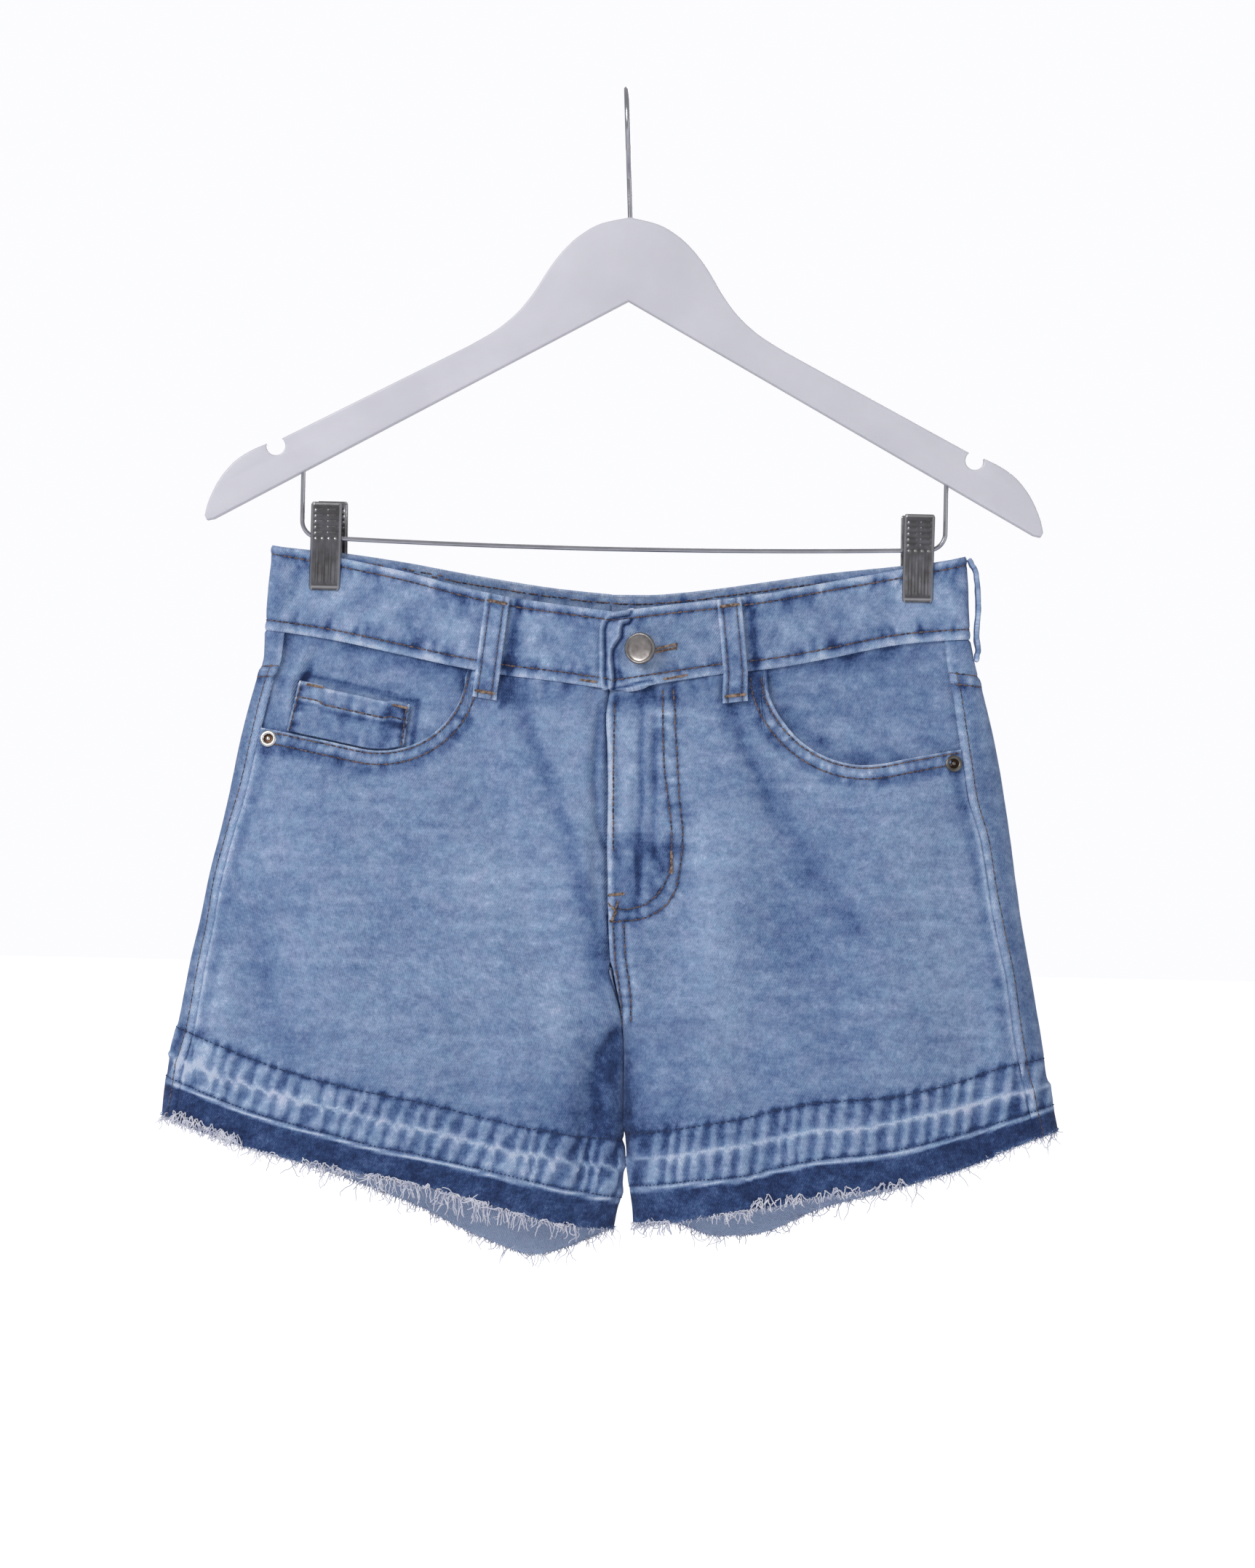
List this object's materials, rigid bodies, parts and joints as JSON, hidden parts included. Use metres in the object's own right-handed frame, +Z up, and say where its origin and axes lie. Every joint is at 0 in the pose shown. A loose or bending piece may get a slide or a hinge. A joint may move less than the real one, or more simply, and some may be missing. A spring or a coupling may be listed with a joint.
{
  "type": "denim shorts on a clip hanger",
  "caption": "Stone-washed five-pocket denim shorts with a let-down frayed hem, clamped by the waistband to a painted wooden clip hanger.",
  "frame": {"origin": "under the top of the hanger's hook, where a rail bears on it", "axes": "+Z up, -Y is the way that the fly faces, and +X is the wearer's left"},
  "size_m": [0.4795, 0.0579, 0.632],
  "materials": {
    "denim": "stone-washed indigo twill, matt, pale on raised seams and dark indigo in the let-down hem",
    "cotton_thread": "undyed weft threads frayed from the raw edges",
    "topstitch_thread": "tan and brown polyester-cotton sewing thread, faded",
    "hem_thread": "dark blue thread ends of the unpicked hem",
    "brushed_nickel": "brushed nickel, bare",
    "aged_brass": "darkened brass",
    "nickel": "bright nickel",
    "dark_steel": "pressed steel, dark nickel plate",
    "steel_wire": "bright plated wire",
    "painted_wood": "pale grey-white gloss paint on wood"
  },
  "bodies": {
    "root": {"back_left": "denim", "back_pocket_left": "denim", "back_pocket_right": "denim", "back_right": "denim", "belt_loop_back": "denim", "belt_loop_front_left": "denim", "belt_loop_front_right": "denim", "belt_loop_side_left": "denim", "belt_loop_side_right": "denim", "button": "brushed_nickel", "clip_bar": "steel_wire", "clip_left_back": "dark_steel", "clip_left_front": "dark_steel", "clip_left_spring": "steel_wire", "clip_right_back": "dark_steel", "clip_right_front": "dark_steel", "clip_right_spring": "steel_wire", "coin_pocket": "denim", "fly_placket": "denim", "front_left": "denim", "front_right": "denim", "hanger_body": "painted_wood", "hem_fringe_left": "cotton_thread", "hem_fringe_right": "cotton_thread", "hook": "steel_wire", "pocket_facing_left": "denim", "pocket_facing_right": "denim", "rivet_left": "aged_brass", "rivet_right": "nickel", "waistband_left": "denim", "waistband_right": "denim", "yoke_left": "denim", "yoke_right": "denim"}
  },
  "joints": []
}
